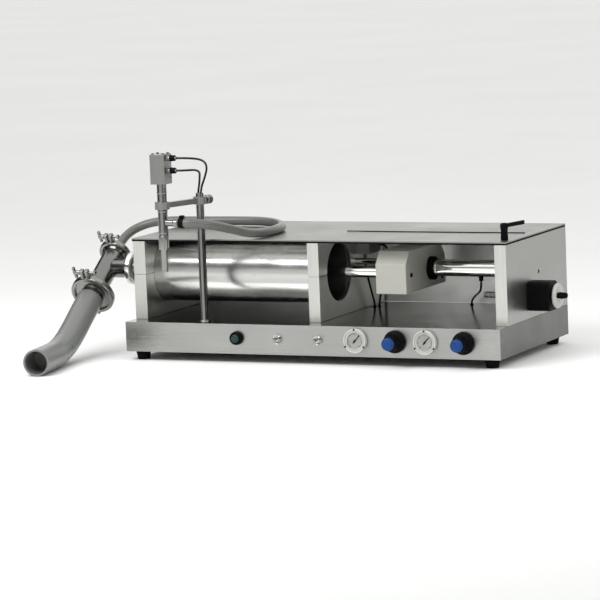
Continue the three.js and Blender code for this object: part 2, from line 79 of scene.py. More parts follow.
# ---- camera -------------------------------------------------------------------------------
def make_camera():
    """The fitted camera. Its roll lies between what the photograph's verticals and horizontals ask for."""
    azimuth, elevation, roll = (math.radians(a) for a in (24.3, 7.2, -2.2))
    distance, focal, width = 6.763, 3597.0, 600.0
    aim = at(380, 140, 100)
    back = Vector((math.sin(azimuth) * math.cos(elevation), -math.cos(azimuth) * math.cos(elevation),
                   math.sin(elevation)))
    data = bpy.data.cameras.new("camera")
    data.sensor_width = 36.0
    data.lens = focal / width * data.sensor_width
    data.shift_x, data.shift_y = -0.064, -0.004
    data.clip_end = 50
    camera = linked("camera", data)
    camera.location = aim + back * distance
    camera.rotation_mode = "QUATERNION"
    turn = (-back).to_track_quat("-Z", "Y")
    camera.rotation_quaternion = turn @ Matrix.Rotation(roll, 3, "Z").to_quaternion()
    bpy.context.scene.camera = camera


make_camera()


# ---- materials ----------------------------------------------------------------------------
MATERIALS = {}


class Tree:
    """A short way to write a node tree. Wherever a value goes, another node's output can go."""

    def __init__(self, tree):
        self.tree = tree

    def add(self, kind, **values):
        node = self.tree.nodes.new(kind)
        for key, value in values.items():
            setattr(node, key, value)
        return node

    def put(self, value, socket):
        if isinstance(value, bpy.types.NodeSocket):
            self.tree.links.new(value, socket)
        else:
            socket.default_value = value

    def split(self, vector):
        node = self.add("ShaderNodeSeparateXYZ")
        self.put(vector, node.inputs[0])
        return node.outputs

    def compute(self, operation, *values, clamp=False):
        node = self.add("ShaderNodeMath", operation=operation, use_clamp=clamp)
        for value, socket in zip(values, node.inputs):
            self.put(value, socket)
        return node.outputs[0]

    def ramp(self, factor, stops):
        node = self.add("ShaderNodeValToRGB")
        ramp = node.color_ramp
        while len(ramp.elements) < len(stops):
            ramp.elements.new(0.5)
        for element, (position, colour) in zip(ramp.elements, stops):
            element.position = position
            element.color = (*colour, 1)
        self.put(factor, node.inputs["Fac"])
        return node.outputs["Color"]

    def range(self, factor, low, high, start=0.3, end=0.7):
        node = self.add("ShaderNodeMapRange")
        for socket, value in (("Value", factor), ("From Min", start), ("From Max", end), ("To Min", low),
                              ("To Max", high)):
            self.put(value, node.inputs[socket])
        return node.outputs["Result"]

    def mix(self, factor, first, second):
        node = self.add("ShaderNodeMix", data_type="RGBA")
        self.put(factor, node.inputs["Factor"])
        for socket, value in (("A", first), ("B", second)):
            self.put((*value, 1) if isinstance(value, tuple) else value, node.inputs[socket])
        return node.outputs["Result"]


class Nodes(Tree):
    """A new material's tree. The material goes into MATERIALS under its name."""

    def __init__(self, name):
        material = MATERIALS[name] = bpy.data.materials.new(name)
        material.use_nodes = True
        super().__init__(material.node_tree)
        self.shader = self.tree.nodes["Principled BSDF"]
        self.place = self.add("ShaderNodeTexCoord").outputs["Object"]

    def set(self, **values):
        for key, value in values.items():
            self.put(value, self.shader.inputs[key.replace("_", " ")])

    def noise(self, size, detail, roughness=0.55, scale=(1, 1, 1)):
        mapping = self.add("ShaderNodeMapping")
        self.put(self.place, mapping.inputs["Vector"])
        self.put(scale, mapping.inputs["Scale"])
        node = self.add("ShaderNodeTexNoise")
        for socket, value in (("Vector", mapping.outputs["Vector"]), ("Scale", size), ("Detail", detail),
                              ("Roughness", roughness)):
            self.put(value, node.inputs[socket])
        return node.outputs["Fac"]

    def bump(self, height, strength, distance):
        node = self.add("ShaderNodeBump")
        for socket, value in (("Height", height), ("Strength", strength), ("Distance", distance)):
            self.put(value, node.inputs[socket])
        return node.outputs["Normal"]

    def edges(self, low, high):
        """1 on worn convex edges, 0 elsewhere."""
        return self.range(self.add("ShaderNodeNewGeometry").outputs["Pointiness"], 0.0, 1.0, low, high)


def darker(colour, share):
    return tuple(c * share for c in colour)


def one_way(axis, along, across):
    """A noise scale that differs along one axis."""
    return tuple(along if letter == axis else across for letter in "XYZ")


def brushed(name, colour, along, rough=(0.24, 0.42), lines=900.0):
    """Sheet or bar steel with fine grinding lines along one axis."""
    n = Nodes(name)
    grain = n.noise(1.0, 5.0, 0.7, one_way(along, 6.0, lines))
    cloud = n.noise(9.0, 5.0)
    n.set(Base_Color=n.mix(n.range(grain, 0.0, 1.0), darker(colour, 0.86), colour),
          Roughness=n.compute("MULTIPLY", n.range(grain, 0.85, 1.15), n.range(cloud, *rough)),
          Normal=n.bump(grain, 0.22, 0.00004), Metallic=1.0)


def polished(name, colour, axis, rough, marks):
    """Polished steel or chrome with faint turning marks round its axis and a soft haze."""
    n = Nodes(name)
    rings = n.noise(1.0, 3.0, 0.6, one_way(axis, 1500.0, 30.0))
    haze = n.noise(14.0, 6.0)
    smudge = n.range(n.noise(55.0, 8.0, 0.65), 0.0, 0.05, 0.45, 0.75)
    n.set(Base_Color=n.mix(n.range(haze, 0.0, 1.0), darker(colour, 0.93), colour),
          Roughness=n.compute("ADD", n.range(haze, *rough), smudge), Normal=n.bump(rings, marks, 0.00003),
          Metallic=1.0)


def enamel(name, colour, rough, peel):
    """Satin paint: orange peel, a little grime, and edges rubbed lighter."""
    n = Nodes(name)
    rubbed_colour = (0.50, 0.49, 0.46)
    patch = n.noise(16.0, 7.0, 0.6)
    grime = n.noise(70.0, 8.0, 0.7)
    tone = n.mix(n.range(patch, 0.0, 1.0, 0.25, 0.75), darker(colour, 0.93), colour)
    tone = n.mix(n.range(grime, 0.0, 0.16, 0.55, 0.8), tone, darker(colour, 0.6))
    rubbed = n.compute("MULTIPLY", n.edges(0.53, 0.62), n.range(grime, 0.0, 0.7, 0.4, 0.7))
    n.set(Base_Color=n.mix(rubbed, tone, rubbed_colour), Roughness=n.range(patch, *rough),
          Normal=n.bump(n.noise(520.0, 3.0), peel, 0.00012))


def moulded(name, colour, rough, grain, size, lift, shine=0.25):
    """Moulded plastic or rubber with a fine spark-eroded grain and paler rubbed edges."""
    n = Nodes(name)
    dust = n.noise(60.0, 8.0, 0.7)
    pale = tuple(min(1.0, c + lift) for c in colour)
    tone = n.mix(n.range(dust, 0.0, 0.5, 0.5, 0.8), colour, pale)
    n.set(Base_Color=n.mix(n.edges(0.54, 0.66), tone, pale), Roughness=n.range(dust, *rough),
          Normal=n.bump(n.noise(size, 2.0), grain, 0.00008), Specular_IOR_Level=shine)


def hose_plastic(name, colour, pitch, transmission, inner):
    """Grey hose wall with a wound rib that shows as fine darker turns. The pitch is in metres."""
    n = Nodes(name)
    along = n.split(n.add("ShaderNodeUVMap", uv_map="along").outputs["UV"])
    turns = n.compute("MULTIPLY_ADD", along["Y"], 1.0 / pitch, along["X"])
    rib = n.range(n.compute("PINGPONG", turns, 0.5), 0.0, 1.0, 0.1, 0.4)
    cloud = n.noise(22.0, 6.0)
    tone = n.mix(n.range(cloud, 0.0, 1.0), darker(colour, 0.9), colour)
    n.set(Base_Color=n.mix(n.range(rib, 0.0, 0.3, 0.0, 1.0), tone, inner),
          Roughness=n.range(cloud, 0.24, 0.4), Normal=n.bump(rib, 0.12, 0.0003),
          Transmission_Weight=transmission, IOR=1.45, Subsurface_Weight=0.12,
          Subsurface_Radius=(0.01, 0.01, 0.01), Coat_Weight=0.25, Coat_Roughness=0.2)


def make_materials():
    brushed("panel_steel", (0.42, 0.42, 0.405), "X")
    # Painted shade: a darker copy of the panel steel, for the base's side faces.
    brushed("side_steel_painted_shade", (0.16, 0.16, 0.157), "Y")
    brushed("deck_steel", (0.42, 0.42, 0.41), "X", (0.10, 0.2), 700.0)
    brushed("plate_steel", (0.64, 0.65, 0.61), "Z", (0.3, 0.42), 500.0)
    # Painted shade: a darker copy of the plate steel, for the right plate's outer face.
    brushed("wall_steel_painted_shade", (0.42, 0.425, 0.405), "Z", (0.3, 0.42), 500.0)
    brushed("cover_steel", (0.32, 0.32, 0.298), "X", (0.26, 0.4), 500.0)
    brushed("turned_steel", (0.30, 0.30, 0.285), "Z", (0.2, 0.34), 700.0)
    # The back panel's inner face is polished, and its colour, raised far above the cover steel's, is painted
    # light.
    polished("back_polish_painted_light", (0.93, 0.94, 0.92), "X", (0.32, 0.42), 0.03)
    # Painted light: a bright polished copy of the cover steel for the cover's underside, so that the cylinder
    # below reflects it bright.
    polished("under_polish_painted_light", (0.86, 0.87, 0.85), "X", (0.08, 0.16), 0.03)
    polished("cylinder_polish", (0.56, 0.56, 0.545), "X", (0.18, 0.25), 0.08)
    polished("pipe_polish", (0.29, 0.29, 0.28), "Z", (0.1, 0.2), 0.06)
    polished("chrome", (0.82, 0.82, 0.80), "X", (0.05, 0.1), 0.04)
    polished("tee_polish", (0.22, 0.22, 0.212), "Z", (0.1, 0.2), 0.04)
    enamel("block_cream", (0.46, 0.455, 0.41), (0.42, 0.55), 0.1)
    enamel("gauge_white", (0.60, 0.60, 0.575), (0.3, 0.42), 0.03)
    enamel("dial_grey", (0.44, 0.445, 0.425), (0.5, 0.6), 0.0)
    enamel("wheel_pale", (0.50, 0.505, 0.475), (0.3, 0.42), 0.05)
    moulded("rubber_black", (0.004, 0.004, 0.004), (0.6, 0.85), 0.5, 900.0, 0.004, 0.06)
    moulded("plastic_black", (0.003, 0.003, 0.004), (0.4, 0.55), 0.25, 1500.0, 0.003, 0.06)
    moulded("plastic_blue", (0.006, 0.048, 0.20), (0.35, 0.5), 0.2, 1500.0, 0.015)
    moulded("plastic_green", (0.006, 0.032, 0.026), (0.2, 0.35), 0.1, 1500.0, 0.015, 0.4)
    moulded("valve_grey", (0.20, 0.205, 0.195), (0.4, 0.55), 0.3, 1200.0, 0.05)
    moulded("ptfe", (0.78, 0.77, 0.72), (0.45, 0.6), 0.1, 900.0, 0.05, 0.5)
    moulded("air_tube", (0.010, 0.010, 0.011), (0.25, 0.4), 0.05, 900.0, 0.015)
    moulded("mark_black", (0.012, 0.012, 0.012), (0.5, 0.7), 0.0, 900.0, 0.01)
    hose_plastic("hose_suction", (0.19, 0.195, 0.186), 0.0068, 0.0, (0.172, 0.177, 0.169))
    hose_plastic("hose_discharge", (0.18, 0.185, 0.168), 0.0034, 0.25, (0.145, 0.15, 0.135))
    glass = Nodes("gauge_glass")
    glass.set(Base_Color=(1, 1, 1, 1), Transmission_Weight=1.0, IOR=1.1,
              Roughness=glass.range(glass.noise(90.0, 6.0), 0.02, 0.09))


make_materials()


# ---- mesh helpers -------------------------------------------------------------------------
def mesh_of(name, bm, material):
    """The bmesh as smooth-shaded mesh data."""
    mesh = bpy.data.meshes.new(name)
    bm.to_mesh(mesh)
    bm.free()
    mesh.shade_smooth()
    mesh.materials.append(MATERIALS[material])
    return mesh


def to_object(name, bm, material, smooth=35.0):
    bmesh.ops.recalc_face_normals(bm, faces=bm.faces)
    mesh = mesh_of(name, bm, material)
    mesh.set_sharp_from_angle(angle=math.radians(smooth))
    return linked(name, mesh)


def place(obj, body, slot, *replaced):
    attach(obj, body)
    if replaced:
        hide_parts(*replaced)


def softened(profile, radius):
    """The profile with each corner rounded, so that turned edges catch the light. Open ends stay."""
    steps, longest_cut, too_small, nearly_straight = 3, 0.45, 1e-3, -0.995
    closed = profile[0] == profile[-1]
    points = [Vector(p) for p in (profile[:-1] if closed else profile)]
    out = []
    for i, p in enumerate(points):
        if not closed and i in (0, len(points) - 1):
            out.append(p)
            continue
        before, after = points[i - 1] - p, points[(i + 1) % len(points)] - p
        cut = min(radius, before.length * longest_cut, after.length * longest_cut)
        if cut < too_small or before.normalized().dot(after.normalized()) < nearly_straight:
            out.append(p)
            continue
        a, b = p + before.normalized() * cut, p + after.normalized() * cut
        for k in range(steps + 1):
            t = k / steps
            out.append(a * (1 - t) ** 2 + p * (2 * t * (1 - t)) + b * t ** 2)
    if closed:
        out.append(out[0])
    return out


AXES = {
    "x": Matrix(((0, 0, 1), (1, 0, 0), (0, 1, 0))),
    "y": Matrix(((0, 1, 0), (0, 0, 1), (1, 0, 0))),
    "z": Matrix(((1, 0, 0), (0, 1, 0), (0, 0, 1))),
}


def lathe_into(bm, profile, axis, origin, sides=96, soft=0.35, flutes=0, depth=0.0, span=(0, 0), turn=None):
    """Turns a (radius, distance) profile in millimetres round an axis through origin (row frame).

    Flutes are cut to a share of the radius, over the span of the distance."""
    points = softened([tuple(p) for p in profile], soft) if soft else [Vector(p) for p in profile]
    same = 1e-9
    closed = (points[0] - points[-1]).length < same
    if closed:
        points = points[:-1]
    basis = (turn or Matrix.Identity(3)) @ AXES[axis]
    rings = []
    for p in points:
        radius, along = p
        ring = []
        for i in range(1 if radius < 1e-6 else sides):
            angle = 2 * math.pi * i / sides
            r = radius
            if flutes and span[0] <= along <= span[1]:
                r *= 1 - depth * (0.5 - 0.5 * math.cos(flutes * angle)) ** 2
            local = mm(r * math.cos(angle), r * math.sin(angle), along)
            ring.append(bm.verts.new(Vector(origin) + basis @ local))
        rings.append(ring)
    pairs = list(zip(rings, rings[1:] + rings[:1])) if closed else list(zip(rings, rings[1:]))
    for low, high in pairs:
        for i in range(sides):
            j = (i + 1) % sides
            quad = [low[i % len(low)], low[j % len(low)], high[j % len(high)], high[i % len(high)]]
            quad = list(dict.fromkeys(quad))
            if len(quad) > 2:
                bm.faces.new(quad)
    return bm


def lathe(name, profile, axis, origin, material, body, slot, *replaced, smooth=35.0, **options):
    """A turned piece, in its place."""
    obj = to_object(name, lathe_into(bmesh.new(), profile, axis, origin, **options), material, smooth)
    place(obj, body, slot, *replaced)


def bevel_edges(bm, width, segments=3, angle=30.0):
    edges = [e for e in bm.edges if len(e.link_faces) == 2 and e.calc_face_angle(0) > math.radians(angle)]
    bmesh.ops.bevel(bm, geom=edges, offset=width * MM, segments=segments, profile=0.5, affect="EDGES",
                    clamp_overlap=True)


def block_into(bm, low, high, bevel=0.5, turn=None, centre=None):
    """A box with rounded edges between two corners (row frame), optionally turned about a point."""
    part = bmesh.new()
    bmesh.ops.create_cube(part, size=1.0)
    size, middle = Vector(high) - Vector(low), (Vector(high) + Vector(low)) / 2
    for v in part.verts:
        v.co = Vector(v.co[i] * size[i] for i in range(3)) + middle
    if bevel:
        bevel_edges(part, bevel)
    if turn is not None:
        pivot = Vector(centre) if centre is not None else middle
        for v in part.verts:
            v.co = pivot + turn @ (v.co - pivot)
    merge(bm, part)


def prism_into(bm, low, high):
    """Closes two matching outlines, each a list of vertices, into a solid."""
    bm.faces.new(low[::-1])
    bm.faces.new(high)
    for i in range(len(low)):
        j = (i + 1) % len(low)
        bm.faces.new((low[i], low[j], high[j], high[i]))


def merge(bm, part):
    mesh = bpy.data.meshes.new("scratch")
    part.to_mesh(mesh)
    part.free()
    bm.from_mesh(mesh)
    bpy.data.meshes.remove(mesh)


def refined(node, material, width=0.8, segments=3):
    """The CAD node's own shape with merged facets and rounded edges. The width is in millimetres."""
    same, flat, rounded, sharp = 1e-6, math.radians(0.8), math.radians(40), math.radians(38)
    bm = bmesh.new()
    bm.from_mesh(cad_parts[node].data)
    bmesh.ops.remove_doubles(bm, verts=bm.verts, dist=same)
    bmesh.ops.dissolve_limit(bm, angle_limit=flat, verts=bm.verts, edges=bm.edges)
    mesh = mesh_of(node + "_finished", bm, material)
    obj = linked(node + "_finished", mesh)
    bevel = obj.modifiers.new("edges", "BEVEL")
    bevel.width = width * MM
    bevel.segments = segments
    bevel.limit_method = "ANGLE"
    bevel.angle_limit = rounded
    bevel.harden_normals = True
    mesh.set_sharp_from_angle(angle=sharp)
    return obj


def faced(obj, material, test):
    """Gives the material to the faces that pass the test."""
    obj.data.materials.append(MATERIALS[material])
    for face in obj.data.polygons:
        if test(face):
            face.material_index = len(obj.data.materials) - 1


def refine(node, body, slot, material, width=0.8, segments=3):
    place(refined(node, material, width, segments), body, slot, node)


def hexagon_into(bm, across, height, axis, origin, turn=None, chamfer=0.5):
    """A hexagonal nut or head: across flats and height in millimetres."""
    radius = across / math.sqrt(3)
    profile = [(0, 0), (radius - chamfer, 0), (radius, chamfer * 0.6), (radius, height - chamfer * 0.6),
               (radius - chamfer, height), (0, height)]
    lathe_into(bm, profile, axis, origin, sides=6, soft=0, turn=turn)


def tube_rings(route, step):
    """Evenly spaced points on a centripetal Catmull-Rom curve through the route, and its length."""
    pieces, fewest = 16, 8
    knots = [at(*p) for p in route]
    knots = [knots[0] * 2 - knots[1], *knots, knots[-1] * 2 - knots[-2]]
    fine = []
    for a, b, c, d in zip(knots, knots[1:], knots[2:], knots[3:]):
        t0 = 0.0
        t1 = t0 + math.sqrt((b - a).length)
        t2 = t1 + math.sqrt((c - b).length)
        t3 = t2 + math.sqrt((d - c).length)
        for k in range(pieces):
            t = t1 + (t2 - t1) * k / pieces
            p = a * ((t1 - t) / (t1 - t0)) + b * ((t - t0) / (t1 - t0))
            q = b * ((t2 - t) / (t2 - t1)) + c * ((t - t1) / (t2 - t1))
            r = c * ((t3 - t) / (t3 - t2)) + d * ((t - t2) / (t3 - t2))
            s = p * ((t2 - t) / (t2 - t0)) + q * ((t - t0) / (t2 - t0))
            u = q * ((t3 - t) / (t3 - t1)) + r * ((t - t1) / (t3 - t1))
            fine.append(s * ((t2 - t) / (t2 - t1)) + u * ((t - t1) / (t2 - t1)))
    fine.append(knots[-2])
    points = np.array(fine)
    along = np.concatenate([[0], np.cumsum(np.linalg.norm(np.diff(points, axis=0), axis=1))])
    where = np.linspace(0, along[-1], max(fewest, int(along[-1] / step)) + 1)
    return np.stack([np.interp(where, along, points[:, k]) for k in range(3)], axis=1), along[-1]


def tube(name, route, radius, material, step, sides, wall=None):
    """A hose as a swept mesh with a UV map of turns round and metres along. Lengths in metres.

    A wall opens the far end: the bore goes back by open_rings rings."""
    open_rings = 20
    rings, length = tube_rings(route, step)
    bm = bmesh.new()
    uv = bm.loops.layers.uv.new("along")
    tangent = np.gradient(rings, axis=0)
    tangent /= np.linalg.norm(tangent, axis=1)[:, None]
    side = np.cross(tangent[0], (0.0, 0.0, 1.0))
    if np.linalg.norm(side) < 1e-3:
        side = np.array((1.0, 0.0, 0.0))
    stations = []
    for i, (centre, direction) in enumerate(zip(rings, tangent)):
        side = side - direction * side.dot(direction)
        side /= np.linalg.norm(side)
        up = np.cross(direction, side)
        stations.append((centre, side.copy(), up, i / (len(rings) - 1) * length))

    def ring_at(station, r):
        centre, s, u, _ = station
        angles = [2 * math.pi * k / sides for k in range(sides)]
        return [bm.verts.new(centre + s * (r * math.cos(a)) + u * (r * math.sin(a))) for a in angles]

    loops = [(ring_at(s, radius), s[3]) for s in stations]
    if wall:
        inner = [(ring_at(s, radius - wall), s[3]) for s in stations[-open_rings:]]
        loops += inner[::-1]
    for (low, v0), (high, v1) in zip(loops, loops[1:]):
        for k in range(sides):
            j = (k + 1) % sides
            face = bm.faces.new((low[k], low[j], high[j], high[k]))
            for loop, (u_, v_) in zip(face.loops, ((k, v0), (k + 1, v0), (k + 1, v1), (k, v1))):
                loop[uv].uv = (u_ / sides, v_)
    bm.faces.new(loops[0][0][::-1])
    bm.faces.new(loops[-1][0])
    obj = to_object(name, bm, material, 60.0)
    return obj, [Vector(p) for p in rings], length


# ---- hoses and air lines ------------------------------------------------------------------
SUCTION_ROUTE = [(-104, 58, 99.8), (-104, 46, 91.7), (-104, 30, 80.9), (-103.6, 12, 68.8), (-103, -7, 56),
                 (-102, -26.7, 44.2), (-100, -47.6, 34.4), (-97.5, -69.4, 26.9), (-94.5, -91.8, 21.7),
                 (-91.5, -110.8, 19.2), (-88, -130, 18.4), (-84.5, -151, 18.4), (-81, -172, 18.4),
                 (-77.5, -193, 18.4), (-72.5, -223, 18.4)]
DISCHARGE_ROUTE = [(160.3, -80, 264), (172, -80, 264), (184, -77, 263.5), (196, -69, 262), (207, -56, 259),
                   (217, -39, 254.5), (227, -18, 248.5), (237, 6, 241.5), (246, 31, 234.5), (254, 60, 230.2),
                   (259, 92, 229), (260, 124, 229), (256, 158, 229), (245, 190, 229), (226, 219, 229),
                   (201, 242, 229.5), (171, 256, 230), (138, 261, 230), (104, 261, 230), (70, 258, 230),
                   (38, 254, 230.3), (8, 250, 230.5), (-16, 247.5, 230.5), (-37, 245.5, 229.7),
                   (-54, 243.5, 227.3), (-69, 240, 224), (-81.5, 234.5, 219.5), (-91.5, 227, 214),
                   (-98.5, 217.5, 207.5), (-102.5, 207, 200.2), (-104, 196, 192.9), (-104, 186.2, 186.3)]
AIR_ROUTE_UPPER = [(163.3, -80, 384), (172, -80, 384), (182, -76, 383.5), (190, -66, 382), (195, -51, 379),
                   (196, -35, 374), (193, -19, 366.5), (187, -5, 356.5), (179, 5.5, 345), (171.5, 12, 333),
                   (165.5, 15, 321), (163.1, 15.3, 309), (162.9, 15.3, 298)]
AIR_ROUTE_LOWER = [(163.3, -80, 361), (171, -79.5, 361), (179, -75, 361), (184.5, -64, 360.5),
                   (186, -50, 359), (184.5, -35, 355.5), (180, -21, 350), (174, -9, 342), (168, 1.5, 332.5),
                   (162.5, 9.5, 322.5), (158.6, 14, 312.5), (158, 14.7, 304), (158, 14.7, 298)]


def stand_cord(name, route, diameter, material, step, sides, node):
    """A cord from the arm to the frame, swept along its route, with its transform baked into the mesh."""
    cord, rings, _ = tube(name, route, diameter / 2, material, step, sides)
    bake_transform(cord)
    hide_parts(node)


def make_cords():
    suction, rings, _ = tube("suction_hose_skin", SUCTION_ROUTE, 0.025, "hose_suction", 0.003, 64, 0.0035)
    place(suction, "frame", "hose_clear", "suction_hose")
    stand_cord("discharge_hose_skin", DISCHARGE_ROUTE, 0.017, "hose_discharge", 0.002, 40,
               "discharge_hose")
    lines = (("upper", AIR_ROUTE_UPPER, 0.172, 382, 311), ("lower", AIR_ROUTE_LOWER, 0.146, 360.5, 309))
    for name, route, length, top, bottom in lines:
        stand_cord(f"air_line_{name}_skin", route, 0.004, "air_tube", 0.001, 20,
                   f"air_line_{name}")


make_cords()


# ---- base ---------------------------------------------------------------------------------
def screw_head(bm, centre, axis, radius, height, socket):
    """A socket cap screw head that stands out from centre along the axis."""
    deep = height - min(1.6, height * 0.7)
    profile = [(0, deep), (socket, deep), (socket, height), (radius - 0.5, height), (radius, height - 0.5),
               (radius, 0), (0, 0)]
    lathe_into(bm, profile, axis, centre, sides=32, soft=0.15)


def make_base():
    chassis = refined("base_chassis", "panel_steel", 1.6, 4)
    faced(chassis, "deck_steel", lambda face: face.normal.z > 0.9)
    # Painted shade: the chassis's side faces take the darker copy of the panel steel.
    faced(chassis, "side_steel_painted_shade", lambda face: abs(face.normal.x) > 0.9)
    place(chassis, "frame", "chassis_steel", "base_chassis")
    for i, (x, y) in enumerate(((25, 22), (735, 22), (25, 328), (735, 328)), 1):
        profile = [(0, 0), (10.5, 0), (11.5, 1), (12.6, 7), (13.3, 11), (14, 11.6), (14, 16.7), (0, 16.7)]
        lathe(f"foot_rubber_{i}", profile, "z", at(x, y, FLOOR), "rubber_black", "frame", "foot_rubber",
              f"foot_{i}", sides=64)


def make_plates():
    for name in ("left_plate_lower", "left_plate_upper", "middle_plate_lower", "middle_plate_upper"):
        refine(name, "frame", "plate_finish", "plate_steel", 0.7)
    wall = refined("right_plate", "plate_steel", 0.9)
    # Painted shade: the right plate's outward face takes the darker copy of the plate steel.
    faced(wall, "wall_steel_painted_shade", lambda face: face.normal.x > 0.9)
    place(wall, "frame", "plate_finish", "right_plate")
    cover = refined("top_cover", "cover_steel", 0.7)
    # Painted light: the cover's downward faces take the bright polished copy of the cover steel.
    faced(cover, "under_polish_painted_light", lambda face: face.normal.z < -0.9)
    place(cover, "frame", "cover_finish", "top_cover")
    panel = refined("back_panel", "cover_steel", 0.5)
    # Painted light: the back panel's inner face takes a polished copy of the cover steel with a much brighter
    # colour.
    faced(panel, "back_polish_painted_light", lambda face: face.normal.y < -0.9)
    place(panel, "frame", "cover_finish", "back_panel")
    # Painted shade: a thin black strip under the cover's front and right edges stands in for the shadow line
    # along the gap there.
    seal = bmesh.new()
    block_into(seal, at(0.4, 40.3, 214.4), at(759.6, 41, 217.6), 0.2)
    block_into(seal, at(759.8, 41, 214.4), at(760.5, 347, 217.6), 0.2)
    place(to_object("cover_shadow_strip", seal, "rubber_black"), "frame", "black_plastic")
    # Painted shade: a thin black strip set in the cover's slot and bent along it darkens the slot so that it
    # shows as a dark line.
    slot_line = bmesh.new()
    bends = ((382, 187.5), (430, 185.8), (500, 184.6), (560, 184.2), (640, 184.4), (742, 185.4))
    for (x0, y0), (x1, y1) in zip(bends, bends[1:]):
        corners = ((x0, y0), (x1, y1), (x1, y1 + 1.7), (x0, y0 + 1.7))
        low = [slot_line.verts.new(at(x, y, 218.9)) for x, y in corners]
        high = [slot_line.verts.new(v.co + Vector((0, 0, 2.6 * MM))) for v in low]
        prism_into(slot_line, low, high)
    place(to_object("cover_slot_shade_strip", slot_line, "rubber_black"), "frame", "black_plastic")
    # Painted shade: a black plug fills the rear screw recess, darkening the hole.
    lathe("rear_screw_recess_shade", [(0, 0), (3.4, 0), (3.4, 5.5), (0, 5.5)], "x", at(752.3, 204, 147),
          "mark_black", "frame", "black_plastic", sides=40, soft=0.3)


def make_lever():
    turn = Matrix.Rotation(math.radians(28), 3, "Z")
    stud, base, rise = at(743, 80, 0), 220.3, 0.14
    bm = bmesh.new()
    profile = [(0, base), (7, base), (7, base + 2), (6.2, base + 16), (7.4, base + 24), (7.2, base + 28),
               (5.5, base + 30.4), (0, base + 31)]
    lathe_into(bm, profile, "z", stud, 64, 0.8)
    lathe_into(bm, [(0, 201.7), (3, 201.7), (3, base + 1), (0, base + 1)], "z", stud, 32, 0.3)
    grip = bmesh.new()
    outline = [(-5, -4.6), (22, -3.2), (34, -4), (38, 0), (34, 4), (22, 3.2), (-5, 4.6)]
    low = [grip.verts.new((x * math.cos(rise), y, x * math.sin(rise) + base + 22)) for x, y in outline]
    high = [grip.verts.new((v.co.x, v.co.y, v.co.z + 7)) for v in low]
    prism_into(grip, low, high)
    bevel_edges(grip, 2.2 / MM, 4, 12)
    for v in grip.verts:
        v.co = stud + turn @ (v.co * MM)
    merge(bm, grip)
    place(to_object("clamp_lever_body", bm, "plastic_black", 40), "clamp_lever", "black_plastic",
          "clamp_lever")


# ---- product cylinder ---------------------------------------------------------------------
BORE = at(0, 134, 151)


def make_cylinder():
    shell = [(56, 12.3), (60, 12.3), (60, 380), (56, 380), (56, 12.3)]
    lathe("cylinder_shell", shell, "x", BORE, "cylinder_polish", "frame", "cylinder_steel", "cylinder_tube",
          sides=192, soft=0.4)
    cap = [(15, -47), (25, -47), (25, -44), (19, -41), (19, 12.6), (55.7, 12.6), (55.7, 20), (15, 20),
           (15, -47)]
    lathe("end_cap_turned", cap, "x", BORE, "turned_steel", "frame", "turned_steel", "cylinder_end_cap")
    skirt = 55.4
    piston = [(0, 122), (skirt, 122), (skirt, 132), (50, 132), (50, 147), (skirt, 147), (skirt, 157),
              (0, 157)]
    lathe("piston_turned", piston, "x", BORE, "turned_steel", "carriage", "turned_steel", "piston")
    seal = [(50.3, 132.3), (55.7, 132.3), (55.7, 137), (54.9, 138), (54.9, 141), (55.7, 142), (55.7, 146.7),
            (50.3, 146.7), (50.3, 132.3)]
    lathe("piston_seal_ring", seal, "x", BORE, "ptfe", "carriage", "seal_plastic", "piston_seal")
    rod = [(0, 157.3), (11, 157.3), (11, 522.7), (0, 522.7)]
    lathe("piston_rod_ground", rod, "x", BORE, "chrome", "carriage", "chrome_rod", "piston_rod")


# ---- drive bay ----------------------------------------------------------------------------
BARREL = at(0, 178, 154)
GUIDE = at(0, 215, 160)
ADJUSTER = at(0, 160, 108)


def make_drive():
    refine("coupling_block", "carriage", "block_enamel", "block_cream", 1.3, 4)
    screws = bmesh.new()
    for y, z in ((84, 152), (232, 132)):
        screw_head(screws, at(554, y, z), "x", 4.0, 2.0, 2.0)
    place(to_object("block_screws", screws, "plastic_black"), "carriage", "black_plastic")
    lathe("block_bush", [(6.4, 552), (12, 552), (12, 556), (6.4, 556), (6.4, 552)], "x", BARREL,
          "mark_black", "carriage", "black_plastic", sides=64)
    barrel = [(12.5, 563.3), (15, 563.3), (15, 569), (14.6, 569.6), (14.6, 571), (15, 571.6), (15, 733.6),
              (14.6, 734.2), (14.6, 735.6), (15, 736.2), (15, 748.7), (12.5, 748.7), (12.5, 563.3)]
    lathe("barrel_tube", barrel, "x", BARREL, "chrome", "frame", "chrome_rod", "air_cylinder_barrel",
          soft=0.2)
    gland = [(6.3, 554.6), (22, 554.6), (22, 557.5), (20.5, 558.2), (20.5, 560.4), (22, 561), (22, 563),
             (6.3, 563), (6.3, 554.6)]
    lathe("gland_ring", gland, "x", BARREL, "rubber_black", "frame", "black_plastic", "air_cylinder_gland")
    rod = [(0, 524.3), (6, 524.3), (6, 700), (12.2, 700), (12.2, 712), (0, 712)]
    lathe("air_rod", rod, "x", BARREL, "chrome", "carriage", "chrome_rod", "air_cylinder_rod", sides=64)
    guide = [(0, 379), (6, 379), (6, 745), (0, 745)]
    lathe("guide_rod_ground", guide, "x", GUIDE, "chrome", "frame", "chrome_rod", "guide_rod", sides=64)


